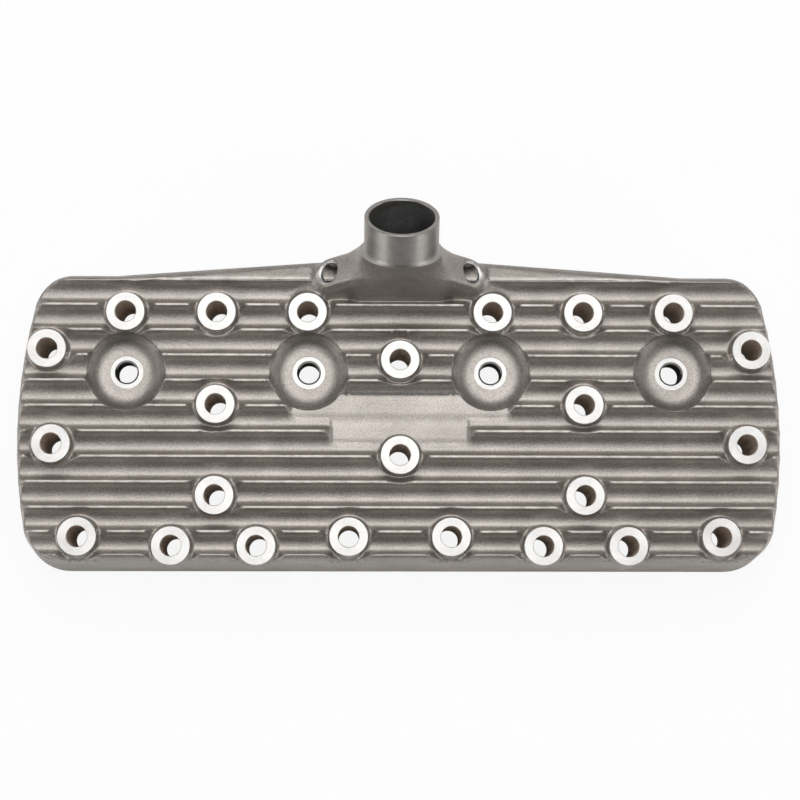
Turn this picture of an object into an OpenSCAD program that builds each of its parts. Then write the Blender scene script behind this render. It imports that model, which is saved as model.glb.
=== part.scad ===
// Finned cast cylinder head for a side-valve V8: one aluminium casting, machined on its bosses,
// spark plug seats, hose neck and gasket face.
// The gasket face lies at Z = 0 and the ribs point up. X runs along the engine, and the hose neck is
// on the +Y edge. X = 0 is the symmetry plane, and Y = 0 lies midway between the two centre studs.

/* [Casting outline at the gasket face] */
// Half length of the casting at the middle of its bowed ends
end_x = 236; // [234:0.5:240]
// Radius of the bowed ends in plan
end_bow_r = 330; // [280:5:400]
// Y of the middle of the bowed ends
end_bow_y = -18; // [-24:1:-12]
// Distance from the centre line to the straight front edge
front_y = 97.5; // [96:0.5:102]
// Distance from the centre line to the straight part of the back edge
back_y = 85; // [84:0.5:88]
// Distance from the centre line to the peak of the back edge
peak_y = 97.5; // [94:0.5:99]
// Half length over which the back edge rises to its peak
peak_x = 172; // [150:1:185]
// Radius of the four corners in plan
corner_r = 28; // [20:1:32]
// Draft of the side walls, in degrees
draft = 5; // [2:0.5:6]
// Radius that rolls the side walls into the top
roll_r = 4; // [3:0.5:5]

/* [Cooling ribs] */
// Height of the rib crests above the gasket face
crest_h = 54; // [52:0.5:55.5]
// Distance from rib to rib
rib_pitch = 15.42; // [15.2:0.02:15.5]
// Distance from rib to rib at the front edge, where the last ribs stand closer
front_rib_pitch = 14.6; // [14.4:0.1:15]
// Number of ribs
rib_count = 12; // [11:1:12]
// Y of the rib next to the back edge
rib_first_y = 78.2; // [77:0.2:79]
// Depth of the valleys below the crests
valley_depth = 6.2; // [5:0.1:6.4]
// Width of the flat crests between two scalloped valleys
crest_w = 1.8; // [1.4:0.1:2.4]
// Radius on the edges of the crests
crest_edge_r = 0.5; // [0.3:0.1:0.6]
// Slope of the shelf behind the first rib, in degrees
shelf_slope = 25; // [15:1:35]

/* [Studs] */
// Height of the stud bosses above the gasket face
boss_h = 57; // [55:0.5:60]
// Diameter of the machined top of a boss
boss_d = 23.2; // [20:0.2:24]
// Diameter of the stud holes
stud_d = 12.7; // [11:0.1:13.5]
// Diameter of the smooth relief round a boss at the valley floor
relief_foot_d = 26.4; // [25:0.2:28]
// Diameter of that relief at the rib crests
relief_rim_d = 38; // [34:0.5:40]

/* [Cylinders and spark plugs] */
// Distance between neighbouring cylinders
bore_pitch = 111.1; // [110.5:0.1:111.5]
// Y of the spark plugs
plug_y = 22.4; // [21:0.2:24]
// Height of the machined spark plug seats
seat_h = 41; // [38:0.5:42]
// Diameter of the machined spark plug seats
seat_d = 20.2; // [19:0.2:22]
// Drilled diameter of the spark plug threads
plug_d = 12.7; // [12:0.1:13]
// Length of the spark plug threads
plug_reach = 19; // [12.7:0.1:20]
// Diameter of the plug wells at the valley floor
well_d = 48; // [44:0.5:50]

/* [Combustion chambers] */
// Depth of the pocket over the two valves
chamber_depth = 14; // [10:0.5:16]
// Diameter of the pocket over each valve
valve_pocket_d = 38; // [34:0.5:38]
// Distance between the two valves
valve_spacing = 36; // [32:0.5:37]
// Y of the valves
valve_y = 28; // [26:0.5:29]
// Diameter of the shallow recess over the piston
dome_d = 68; // [60:0.5:69]
// Depth of the recess over the piston
dome_depth = 3; // [2:0.5:5]
// Y of the cylinder centres
bore_y = -28; // [-30:0.5:-26]

/* [Hose neck] */
// Outside diameter of the hose neck
neck_d = 44.4; // [43:0.1:46]
// Inside diameter of the hose neck
neck_bore_d = 39; // [36:0.5:40]
// Length of the turned part of the neck
neck_len = 22; // [18:1:25]
// Width of the turned cone at the foot of the neck
neck_step = 3; // [2:0.5:4]
// Lean of the neck from upright, in degrees
neck_lean = 48.5; // [46:0.5:51]
// Y of the middle of the neck's rim
neck_rim_y = 107.7; // [105:0.1:110]
// Height of the middle of the neck's rim
neck_rim_h = 105; // [100:0.5:110]

/* [Sender ports] */
// X of the middle of a port's face
port_x = 43.5; // [42:0.5:46]
// Y of the middle of a port's face
port_y = 82; // [80:0.5:84]
// Height of the middle of a port's face
port_h = 59; // [57:0.5:61]
// Lean of a port away from the neck, in degrees
port_lean_out = 35.5; // [28:1:40]
// Lean of a port towards the back edge, in degrees
port_lean_back = 13; // [10:1:20]
// Drilled diameter of the port threads
port_d = 11.6; // [11:0.1:13]
// Diameter of the machined face of a port
port_face_d = 16.4; // [15:0.2:17]

/* [Walls and water jacket] */
// Thickness of the deck under the water jacket
deck_t = 10; // [8:0.5:12]
// Thickness of the top under the valleys
top_t = 6; // [5:0.5:7]
// Thickness of the side walls at the gasket face
side_t = 9; // [8:0.5:11]
// Thickness of metal round the combustion chambers
roof_t = 6; // [5:0.5:8]
// Thickness of metal under the plug wells
well_t = 6; // [5:0.5:8]
// Diameter of the pillars round the studs
pillar_d = 22; // [20:0.5:24]
// Diameter of the tubes round the spark plug threads
plug_tube_d = 26; // [24:0.5:28]
// Diameter of the larger water holes in the gasket face
water_d = 14; // [10:0.5:15]
// Diameter of the smaller water holes in the gasket face
small_water_d = 8; // [5:0.5:9]

/* [Hidden] */

cut = 1;
round_fn = 96;
post_fn = 32;
wall_h = crest_h - roll_r;
valley_h = crest_h - valley_depth;
jacket_top = valley_h - top_t;
draft_in = wall_h * tan(draft);
peak_angle = atan((peak_y - back_y) / peak_x);
end_centre_x = end_x - end_bow_r;

// Studs on one side of the symmetry plane, and the two studs on it
side_studs = [
    [56.2, 58], [111.4, 58], [166.6, 58], [213.8, 35.3], [111.7, 1.6], [210.5, -22.5],
    [111.9, -53.5], [194, -78.4], [137.8, -83.9], [86.5, -83.9], [30.9, -78.4]
];
centre_studs = [[0, 29], [0, -29]];

// Water holes on one side of the symmetry plane
large_water = [[166, -74], [58.7, -76], [139, 62], [84, 62]];
small_water = [[112, -74], [27.8, 56], [216, 6], [190, 55]];

// Name pad, where two ribs stop short of the middle: [half length, first rib, last rib]
pad_steps = [[68.5, 5, 5], [44.5, 5, 6]];
pad_slope = 3.5;

neck_step_d = neck_d + 2 * neck_step;
neck_wall = (neck_d - neck_bore_d) / 2;
tower_x = 27;
tower_front_y = 66;
tower_back_y = 93.5;
tower_foot_h = 20;
passage_x = 15;
port_boss_d = port_face_d + 2;
port_depth = 26;

// Ribs are numbered from 0 at the back edge, and a fractional number means a place between two ribs
close_from = rib_count - 3;
function rib_y(i) = rib_first_y - min(i, close_from) * rib_pitch
    - max(i - close_from, 0) * front_rib_pitch;
function valley_r(i) = (rib_y(i) - rib_y(i + 1) - crest_w) / 2;

// (Y, Z) of a point on the symmetry plane, w below the neck's axis and t along it from the rim
function neck_point(w, t) = [
    neck_rim_y + w * cos(neck_lean) + t * sin(neck_lean),
    neck_rim_h - w * sin(neck_lean) + t * cos(neck_lean)
];

function arc_points(cx, cz, r, steps) =
    [for (k = [0:steps]) [cx + r * cos(90 * k / steps), cz + r * sin(90 * k / steps)]];

module both_sides() {
    children();
    mirror([1, 0, 0]) children();
}

module at_studs() {
    for (p = side_studs) {
        both_sides() translate([p[0], p[1], 0]) children();
    }
    for (p = centre_studs) {
        translate([p[0], p[1], 0]) children();
    }
}

module at_cylinders() {
    for (i = [-1.5:1:1.5]) {
        translate([i * bore_pitch, 0, 0]) children();
    }
}

module at_neck() {
    translate([0, neck_rim_y, neck_rim_h]) rotate([-neck_lean, 0, 0]) children();
}

module at_port() {
    translate([port_x, port_y, port_h]) rotate([-port_lean_back, port_lean_out, 0]) children();
}

// Extrudes a (Y, Z) outline along X, over the whole casting
module along_x(half_length) {
    rotate([90, 0, 90]) linear_extrude(2 * half_length, center = true) children();
}

// A drafted round post whose top edge is rolled over: the outline is swept from such posts
module post(r) {
    foot = [[0, 0], [r, 0]];
    top = arc_points(r - draft_in - roll_r, wall_h, roll_r, 3);
    rotate_extrude($fn = post_fn) polygon(concat(foot, top, [[0, crest_h]]));
}

// Places a post against the bowed end, at the given angle of the bow
module end_post(angle, r) {
    reach = end_bow_r - r;
    translate([end_centre_x + reach * cos(angle), end_bow_y + reach * sin(angle), 0]) post(r);
}

// X of a corner post that touches both the bowed end and an edge at y
function corner_x(y) = end_centre_x + sqrt(pow(end_bow_r - corner_r, 2) - pow(y - end_bow_y, 2));

// Side walls: bowed ends, round corners and straight edges, with draft and rolled top edges
module side_walls() {
    hull() {
        both_sides() {
            for (y = [corner_r - front_y, back_y - corner_r]) {
                translate([corner_x(y), y, 0]) post(corner_r);
            }
            for (angle = [-7, -3.5, 0, 3.5, 7, 10.5]) {
                end_post(angle, corner_r);
            }
        }
    }
}

// One side of the peaked back edge: everything in front of a drafted wall turned by the peak's angle
module peak_side() {
    top_h = crest_h + cut;
    translate([peak_x, back_y, 0]) rotate([0, 0, -peak_angle]) along_x(2 * peak_x)
        polygon([[-back_y, 0], [0, 0], [-top_h * tan(draft), top_h], [-back_y, top_h]]);
}

module peaked_edge() {
    intersection() {
        peak_side();
        mirror([1, 0, 0]) peak_side();
        translate([-peak_x, 0, 0]) cube([2 * peak_x, 2 * peak_y, 2 * crest_h]);
    }
}

// Flat crest with rounded edges
module crest() {
    edge_y = crest_w / 2 - crest_edge_r;
    translate([-edge_y, -crest_edge_r]) circle(crest_edge_r, $fn = 24);
    translate([edge_y, -crest_edge_r]) circle(crest_edge_r, $fn = 24);
    translate([-edge_y, -crest_edge_r]) square([2 * edge_y, crest_edge_r]);
}

// Cross-section of the ribbed top, with the sloping shelf behind the first rib
module rib_section() {
    crown_h = crest_h - crest_edge_r;
    shelf_y = peak_y + cut;
    shelf_drop = (shelf_y - rib_first_y) * tan(shelf_slope);
    shoulder_y = rib_y(rib_count - 1) - crest_w / 2;
    difference() {
        union() {
            polygon([
                [-front_y - cut, -cut], [shelf_y, -cut], [shelf_y, crest_h - shelf_drop],
                [rib_first_y, crest_h - 0.1], [rib_first_y, crown_h], [shoulder_y, crown_h],
                [shoulder_y - 0.6, crown_h - 1.6], [-front_y - cut, crown_h - 2.4]
            ]);
            for (i = [0:rib_count - 1]) {
                translate([rib_y(i), crest_h]) crest();
            }
        }
        for (i = [0:rib_count - 2]) {
            translate([rib_y(i + 0.5), valley_h + valley_r(i)]) circle(valley_r(i), $fn = round_fn);
        }
    }
}

module ribbed_block() {
    intersection() {
        union() {
            side_walls();
            peaked_edge();
        }
        along_x(end_x + cut) rib_section();
    }
}

// Cuts the ribs back to a smooth pad at the valley floor, with sloping rib ends
module name_pad() {
    rise = crest_h + cut - valley_h;
    run = pad_slope * rise / valley_depth;
    for (s = pad_steps) {
        near_y = rib_y(s[1] - 0.5);
        far_y = rib_y(s[2] + 0.5);
        translate([0, near_y, valley_h - 0.1]) rotate([90, 0, 0]) linear_extrude(near_y - far_y)
            polygon([[-s[0], 0], [s[0], 0], [s[0] + run, rise], [-s[0] - run, rise]]);
    }
}

// Cuts the rib ends back round a boss: steep at the valley floor, easing over into the crests
module boss_relief() {
    foot_r = relief_foot_d / 2;
    rim_r = relief_rim_d / 2;
    run = rim_r - foot_r;
    translate([0, 0, valley_h]) rotate_extrude($fn = round_fn) polygon([
        [0, 0], [foot_r, 0], [foot_r + 0.3 * run, 0.62 * valley_depth],
        [foot_r + 0.6 * run, 0.88 * valley_depth], [rim_r, valley_depth],
        [rim_r, valley_depth + cut], [0, valley_depth + cut]
    ]);
}

module boss() {
    cylinder(h = boss_h, d1 = boss_d + 3, d2 = boss_d, $fn = round_fn);
}

module stud_hole() {
    translate([0, 0, -cut]) cylinder(h = boss_h + 2 * cut, d = stud_d, $fn = round_fn);
}

// A round well with a domed floor round the machined plug seat, and a soft corner under its wall
module plug_well() {
    seat_r = seat_d / 2;
    well_r = well_d / 2;
    bowl_r = 5;
    bowl_x = well_r - bowl_r - 1.6;
    bowl_h = seat_h + bowl_r - 3.4;
    corner = [for (k = [-80:20:-20]) [bowl_x + bowl_r * cos(k), bowl_h + bowl_r * sin(k)]];
    top = crest_h + cut;
    rotate_extrude($fn = round_fn) polygon(concat(
        [[0, seat_h], [seat_r, seat_h], [seat_r + 0.4, seat_h - 0.8], [bowl_x - 2, seat_h - 2.9]],
        corner,
        [[well_r, valley_h], [well_r + 1.2, crest_h - 1.5], [well_r + 3.6, top], [0, top]]
    ));
}

module plug_hole() {
    plug_r = plug_d / 2;
    foot_h = seat_h - plug_reach;
    translate([0, 0, foot_h - cut]) cylinder(h = plug_reach + 2 * cut, r = plug_r, $fn = round_fn);
    translate([0, 0, seat_h - 0.9]) cylinder(h = 1.8, r1 = plug_r, r2 = plug_r + 1.8, $fn = round_fn);
    translate([0, 0, cut]) cylinder(h = foot_h - cut, r = plug_r + 2.5, $fn = round_fn);
}

// Valve pocket and shallow recess over the piston, grown by a thickness of metal for the jacket core
module chamber(grow = 0) {
    foot = grow > 0 ? cut : -cut;
    pocket_h = chamber_depth + grow - foot;
    bridge_y = valve_pocket_d - 3 + 2 * grow;
    for (s = [-1, 1]) {
        translate([s * valve_spacing / 2, valve_y, foot])
            cylinder(h = pocket_h, d = valve_pocket_d + 2 * grow, $fn = round_fn);
    }
    translate([-valve_spacing / 2, valve_y - bridge_y / 2, foot])
        cube([valve_spacing, bridge_y, pocket_h]);
    translate([0, bore_y, foot])
        cylinder(h = dome_depth + grow - foot, d = dome_d + 2 * grow, $fn = round_fn);
}

// Slanting throat from the valve pocket to the recess over the piston
module throat() {
    throat_x = 46;
    back = valve_y;
    front = bore_y;
    translate([-throat_x / 2, 0, 0]) rotate([90, 0, 90]) linear_extrude(throat_x)
        polygon([[back, -cut], [back, chamber_depth - 2], [front, dome_depth - 1], [front, -cut]]);
}

// Plan of the water jacket, a wall's thickness inside the drafted outline
module jacket_plan() {
    inset = side_t + draft_in;
    difference() {
        intersection() {
            polygon([
                [-end_x, inset - front_y], [end_x, inset - front_y], [end_x, back_y - inset],
                [peak_x, back_y - inset], [0, peak_y - inset], [-peak_x, back_y - inset],
                [-end_x, back_y - inset]
            ]);
            translate([end_centre_x, end_bow_y]) circle(end_bow_r - inset, $fn = round_fn);
            translate([-end_centre_x, end_bow_y]) circle(end_bow_r - inset, $fn = round_fn);
        }
        at_studs() circle(d = pillar_d, $fn = round_fn);
        at_cylinders() translate([0, plug_y]) circle(d = plug_tube_d, $fn = round_fn);
    }
}

module jacket_core() {
    difference() {
        translate([0, 0, deck_t]) linear_extrude(jacket_top - deck_t) jacket_plan();
        at_cylinders() {
            chamber(roof_t);
            translate([0, plug_y, seat_h - 3 - well_t])
                cylinder(h = boss_h, d = well_d + 2, $fn = round_fn);
        }
    }
}

module water_holes() {
    for (p = large_water) {
        both_sides() translate([p[0], p[1], -cut])
            cylinder(h = deck_t + 2 * cut, d = water_d, $fn = round_fn);
    }
    for (p = small_water) {
        both_sides() translate([p[0], p[1], -cut])
            cylinder(h = deck_t + 2 * cut, d = small_water_d, $fn = round_fn);
    }
}

// Cast tower that turns the water from the jacket into the leaning neck
module neck_tower() {
    hull() {
        at_neck() translate([0, 0, -neck_len - neck_step])
            cylinder(h = 0.5, d = neck_step_d, $fn = post_fn);
        translate([-tower_x, tower_front_y, tower_foot_h])
            cube([2 * tower_x, tower_back_y - tower_front_y, valley_h - tower_foot_h]);
    }
}

// Cast web that carries a sender port beside the tower
module port_web() {
    front = tower_front_y + 2;
    hull() {
        at_port() translate([0, 0, -5]) cylinder(h = 5, d = port_boss_d, $fn = post_fn);
        at_neck() translate([0, 4, -neck_len - neck_step - 6])
            cylinder(h = 1, d = neck_d - 10, $fn = post_fn);
        translate([0, front, tower_foot_h])
            cube([port_x + 7, port_y + 5 - front, valley_h - 1 - tower_foot_h]);
    }
}

module neck_turned() {
    at_neck() {
        translate([0, 0, -neck_len]) cylinder(h = neck_len, d = neck_d, $fn = round_fn);
        translate([0, 0, -neck_len - neck_step])
            cylinder(h = neck_step, d1 = neck_step_d, d2 = neck_d, $fn = round_fn);
    }
}

// Round bore of the neck, then a bent passage down through the top of the jacket
module neck_passage() {
    bore_len = neck_len - 2;
    half_width = 0.62 * neck_bore_d / 2;
    at_neck() translate([0, 0, -bore_len])
        cylinder(h = bore_len + cut, d = neck_bore_d, $fn = round_fn);
    along_x(passage_x) polygon([
        [tower_front_y + 6.5, jacket_top - cut], [tower_back_y - 7, jacket_top - cut],
        neck_point(half_width, -bore_len + cut), neck_point(-half_width, -bore_len + cut),
        [tower_front_y + 10, neck_rim_h - 17]
    ]);
}

module port_hole() {
    at_port() {
        cylinder(h = 14, d = port_face_d, $fn = round_fn);
        translate([0, 0, -port_depth]) cylinder(h = port_depth + cut, d = port_d, $fn = round_fn);
        translate([0, 0, -1.6]) cylinder(h = 1.8, d1 = port_d, d2 = port_d + 2, $fn = round_fn);
    }
}

module outside() {
    difference() {
        ribbed_block();
        name_pad();
        at_studs() boss_relief();
        at_cylinders() translate([0, plug_y, 0]) plug_well();
    }
    at_studs() boss();
    neck_tower();
    both_sides() port_web();
    neck_turned();
}

module cylinder_head() {
    color("#8d8781") difference() {
        outside();
        jacket_core();
        at_studs() stud_hole();
        at_cylinders() {
            translate([0, plug_y, 0]) plug_hole();
            chamber();
            throat();
        }
        water_holes();
        neck_passage();
        both_sides() port_hole();
    }
}

cylinder_head();
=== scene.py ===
import math

import bmesh
import bpy
import numpy as np
from mathutils import Matrix, Vector, geometry


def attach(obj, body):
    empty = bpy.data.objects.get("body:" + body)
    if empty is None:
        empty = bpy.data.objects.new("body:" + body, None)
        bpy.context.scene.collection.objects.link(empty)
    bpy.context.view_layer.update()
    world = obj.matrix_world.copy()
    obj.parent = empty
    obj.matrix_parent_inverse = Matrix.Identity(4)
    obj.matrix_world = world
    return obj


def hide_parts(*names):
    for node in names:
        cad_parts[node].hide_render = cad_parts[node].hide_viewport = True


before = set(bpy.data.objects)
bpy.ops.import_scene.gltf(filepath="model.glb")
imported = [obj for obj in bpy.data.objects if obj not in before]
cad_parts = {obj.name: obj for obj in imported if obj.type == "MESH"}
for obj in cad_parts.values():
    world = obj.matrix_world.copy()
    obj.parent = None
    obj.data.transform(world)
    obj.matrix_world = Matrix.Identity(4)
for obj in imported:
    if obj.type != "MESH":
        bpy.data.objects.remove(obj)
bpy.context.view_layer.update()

MM = 0.001
BODY = "root"
NODE = "cylinder_head"

# Sizes are in millimetres, and heights are above the gasket face
CREST, VALLEY, BOSS = 54.0, 47.8, 57.0
TAN = math.tan(math.radians(5.0))

# Outline at the gasket face: bowed ends, straight front, round corners and a back that peaks in the middle
END_X, END_R, END_Y = 236.0, 330.0, -18.0
FRONT, BACK, PEAK, PEAK_X, CORNER = 97.5, 85.0, 97.5, 172.0, 28.0
END_CENTRE = END_X - END_R
GABLE = math.atan((PEAK - BACK) / PEAK_X)
FRONT_CORNER, BACK_CORNER = CORNER - FRONT, BACK - CORNER

# Ribs from the back to the front: the first ten stand wider apart than the last two
FIRST_RIB, PITCH, LAST_PITCH, PITCHES = 78.2, 15.42, 14.6, 9
RIBS = [FIRST_RIB - PITCH * min(i, PITCHES) - LAST_PITCH * max(i - PITCHES, 0) for i in range(12)]
CREST_W, EDGE_R, LAST_R = 1.8, 0.5, 2.4
VALLEY_SHIFT = 0.32
SHELF = math.tan(math.radians(25))

# Studs and their bosses
STUD_R, RING_R, BOSS_DRAFT = 6.35, 11.6, 1.5 / 57
BOSS_WALL, BOSS_FILLET = 13.0, 2.0
SIDE_STUDS = [(56.2, 58), (111.4, 58), (166.6, 58), (213.8, 35.3), (111.7, 1.6), (210.5, -22.5),
              (111.9, -53.5), (194, -78.4), (137.8, -83.9), (86.5, -83.9), (30.9, -78.4)]
STUDS = [(s * x, y) for x, y in SIDE_STUDS for s in (-1, 1)] + [(0, 29), (0, -29)]

# Spark plug wells: the seat lies a little below the well's floor
PLUG_PITCH, PLUG_Y = 111.1, 22.4
PLUGS = [(i * PLUG_PITCH, PLUG_Y) for i in (-1.5, -0.5, 0.5, 1.5)]
SEAT_H, SEAT_R, SINK, WELL_R, WELL_RISE = 41.0, 10.1, 0.8, 23.4, 7.0

# Plain pad in the middle: half width, back and front of its upper and lower part
PADS = [(66.0, 8.81, -6.61), (42.0, 8.81, -22.03)]
PAD_CORNER = 4.0

# Leaning neck: its axis points up and back from the rim's middle
LEAN = math.radians(48.5)
RIM = np.array([0.0, 107.7, 105.0])
AXIS = np.array([0.0, math.sin(LEAN), math.cos(LEAN)])
ACROSS = np.array([0.0, AXIS[2], -AXIS[1]])
SIDEWAYS = np.array([1.0, 0.0, 0.0])
NECK_R, NECK_BORE, NECK_LEN, FLARE_W, FLARE_L = 22.2, 19.5, 19.0, 3.0, 5.3

# Sender port on the right; the left one is its mirror image
PORT_AT = np.array([43.5, 82.0, 59.0])
PORT_A, PORT_B = math.radians(13), math.radians(35.5)
PORT_AXIS = np.array([math.cos(PORT_A) * math.sin(PORT_B), math.sin(PORT_A),
                      math.cos(PORT_A) * math.cos(PORT_B)])
PORT_FACE, PORT_MINOR, PORT_MAJOR, PORT_PITCH = 8.2, 5.85, 6.5, 1.41
PLUG_MINOR, PLUG_MAJOR, PLUG_THREAD, PLUG_REACH = 6.4, 7.0, 1.25, 18.2


def smin(a, b, k):
    """The smaller of two values, with a rounding of the width k where they meet."""
    h = np.maximum(k - np.abs(a - b), 0.0) / k
    return np.minimum(a, b) - h * h * k * 0.25


def smax(a, b, k):
    return -smin(-a, -b, k)


# The ribbed top as one height over (x, y)
def crest_shape(u, half_pitch):
    """Height at the distance u from a crest's middle line."""
    flat = CREST_W / 2 - EDGE_R
    fall = EDGE_R - np.sqrt(np.maximum(EDGE_R**2 - np.clip(u - flat, 0, EDGE_R) ** 2, 0))
    valley_r = half_pitch - CREST_W / 2
    dy = np.clip(half_pitch - u, 0, valley_r)
    valley = VALLEY + valley_r - np.sqrt(valley_r**2 - dy**2)
    return np.where(u < CREST_W / 2, CREST - fall, np.minimum(valley, CREST - EDGE_R))


def rib_height(y):
    h = np.full_like(y, CREST)
    for a, b in zip(RIBS[:-1], RIBS[1:]):
        half = (a - b) / 2
        from_middle = y - (a + b) / 2
        # the valley's lowest line lies nearer to the rib in front of it
        w = half - CREST_W / 2
        v = from_middle + VALLEY_SHIFT * w
        d = np.where(v > 0, v / (1 + VALLEY_SHIFT), -v / (1 - VALLEY_SHIFT))
        u = half - np.where(d < w, d, np.abs(from_middle))
        h = np.where((y <= a) & (y > b), crest_shape(u, half), h)
    behind = y - RIBS[0]
    shelf = CREST - 0.02 * np.clip(behind, 0, 2) - SHELF * np.maximum(behind - CREST_W / 2, 0)
    h = np.where(behind > 0, smin(np.full_like(y, CREST), shelf, 0.8), h)
    over = RIBS[-1] - y
    front = CREST - LAST_R + np.sqrt(LAST_R**2 - np.clip(over - 0.3, 0, LAST_R - 0.1) ** 2)
    return np.where(over > 0, front, h)


def well_height(r):
    """Flat floor, round foot and steep wall of a spark plug well."""
    slope = math.radians(58)
    floor = SEAT_H + SINK
    bowl = (VALLEY - floor) / (1 - math.cos(slope))
    foot = WELL_R - bowl * math.sin(slope)
    t = np.clip((r - foot) / bowl, 0, math.sin(slope))
    return floor + bowl * (1 - np.sqrt(1 - t * t)) + np.maximum(r - WELL_R, 0) * WELL_RISE


def relief_height(r):
    """The ribs are cut back round a boss."""
    return smax(np.full_like(r, VALLEY + 2.0), VALLEY + (r - 12.8) * 1.4, 1.6)


def pad_height(x, y):
    d = np.full_like(x, 1e9)
    for half, back, front in PADS:
        qx = np.abs(x) - (half - PAD_CORNER)
        qy = np.abs(y - (back + front) / 2) - ((back - front) / 2 - PAD_CORNER)
        outside = np.hypot(np.maximum(qx, 0), np.maximum(qy, 0))
        d = np.minimum(d, outside + np.minimum(np.maximum(qx, qy), 0) - PAD_CORNER)
    return VALLEY + 0.15 + np.maximum(d, 0) * 1.7


def corner_x(cy):
    """X of the middle of a corner's arc that lies at y = cy and touches the bowed end."""
    return END_CENTRE + math.sqrt((END_R - CORNER) ** 2 - (cy - END_Y) ** 2)


def deck_distance(x, y):
    """Distance inside the casting's outline at the gasket face."""
    ax = np.abs(x)
    to_end = END_R - np.hypot(ax - END_CENTRE, y - END_Y)
    to_gable = (PEAK_X - ax) * math.sin(GABLE) - (y - BACK) * math.cos(GABLE)
    to_back = np.where(ax < PEAK_X, to_gable, BACK - y)
    d = np.minimum(np.minimum(to_end, y + FRONT), to_back)
    for cy, side in ((FRONT_CORNER, -1), (BACK_CORNER, 1)):
        cx = corner_x(cy)
        nx, ny = (cx - END_CENTRE) / (END_R - CORNER), (cy - END_Y) / (END_R - CORNER)
        qx, qy = ax - cx, y - cy
        wedge = (qx > 0) & ((nx * qy - ny * qx) * side > 0)
        d = np.where(wedge, CORNER - np.hypot(qx, qy), d)
    return d


def top_height(x, y):
    h = smin(rib_height(y), pad_height(x, y), 2.0)
    for px, py in PLUGS:
        rounding = 4.0 - 2.0 * np.clip((h - VALLEY) / (CREST - VALLEY), 0, 1)
        h = smin(h, well_height(np.hypot(x - px, y - py)), rounding)
    for sx, sy in STUDS:
        r = np.hypot(x - sx, y - sy)
        h = np.where(r < 24, smin(h, relief_height(r), 2.0), h)
    # the top rolls over into the drafted walls, more at a rib than in a valley
    d0 = deck_distance(x, y)
    inside = d0 - h * TAN
    roll = 1.5 + 3.3 * np.clip((h - VALLEY) / (CREST - VALLEY), 0, 1)
    t = np.clip(roll - inside, 0, roll)
    rolled = h - (roll - np.sqrt(np.maximum(roll**2 - t**2, 0)))
    h = np.where(inside >= 0, rolled, np.minimum(h - roll, d0 / TAN))
    for sx, sy in STUDS:
        r = np.hypot(x - sx, y - sy)
        wall = BOSS - (r - RING_R) * BOSS_WALL
        out = r - (RING_R + (BOSS - h) / BOSS_WALL)
        t = np.clip(BOSS_FILLET - out, 0, BOSS_FILLET)
        fillet = BOSS_FILLET - np.sqrt(np.maximum(BOSS_FILLET**2 - t**2, 0))
        h = np.where(r < 18, np.maximum(np.minimum(wall, BOSS - 0.1), h + fillet), h)
    return h


def surface_normals(fn, x, y, e=0.05):
    gx = (fn(x + e, y) - fn(x - e, y)) / (2 * e)
    gy = (fn(x, y + e) - fn(x, y - e)) / (2 * e)
    n = np.stack([-gx, -gy, np.ones_like(gx)], 1)
    return n / np.linalg.norm(n, axis=1, keepdims=True)


def arc(cx, cy, r, start, end, count):
    return [(cx + r * math.cos(t), cy + r * math.sin(t)) for t in np.linspace(start, end, count)]


def outline(d0):
    """Right half of the outline, d0 inside the gasket face's, from the front round to the back."""
    fx, bx = corner_x(FRONT_CORNER), corner_x(BACK_CORNER)
    a1 = math.atan2(FRONT_CORNER - END_Y, fx - END_CENTRE)
    a2 = math.atan2(BACK_CORNER - END_Y, bx - END_CENTRE)
    pts = [(x, d0 - FRONT) for x in np.arange(0, fx, 2.0)]
    pts += arc(fx, FRONT_CORNER, CORNER - d0, -math.pi / 2, a1, 34)
    pts += arc(END_CENTRE, END_Y, END_R - d0, a1, a2, 190)[1:]
    pts += arc(bx, BACK_CORNER, CORNER - d0, a2, math.pi / 2, 34)[1:]
    pts += [(x, BACK - d0) for x in np.arange(bx - 2, PEAK_X, -2.0)]
    for x in np.append(np.arange(PEAK_X, 0.5, -2.0), 0.0):
        pts.append((x, BACK + (PEAK_X - x) * math.tan(GABLE) - d0 / math.cos(GABLE)))
    return np.array(pts)


def both_halves(p):
    left = p[(p[:, 0] > 1e-6)] * [-1, 1]
    return np.vstack([p, left])


def thin(points, keep, gap):
    """Drops points nearer than gap to one of keep."""
    cell = {}
    for i, (x, y) in enumerate(keep):
        cell.setdefault((int(x // gap), int(y // gap)), []).append(i)
    around = [(a, b) for a in (-1, 0, 1) for b in (-1, 0, 1)]
    out = []
    for x, y in points:
        cx, cy = int(x // gap), int(y // gap)
        near = [i for a, b in around for i in cell.get((cx + a, cy + b), ())]
        if all((keep[i][0] - x) ** 2 + (keep[i][1] - y) ** 2 >= gap * gap for i in near):
            out.append((x, y))
    return np.array(out).reshape(-1, 2)


def area_vectors(v, f):
    """Vectors square to triangles or quads, as long as twice their area."""
    if f.shape[1] == 3:
        return np.cross(v[f[:, 1]] - v[f[:, 0]], v[f[:, 2]] - v[f[:, 0]])
    return np.cross(v[f[:, 2]] - v[f[:, 0]], v[f[:, 3]] - v[f[:, 1]])


def used_only(v, f):
    """The vertices that the faces use, with the faces counted anew, and their old numbers."""
    used, new = np.unique(f, return_inverse=True)
    return v[used], new.reshape(f.shape), used


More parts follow.
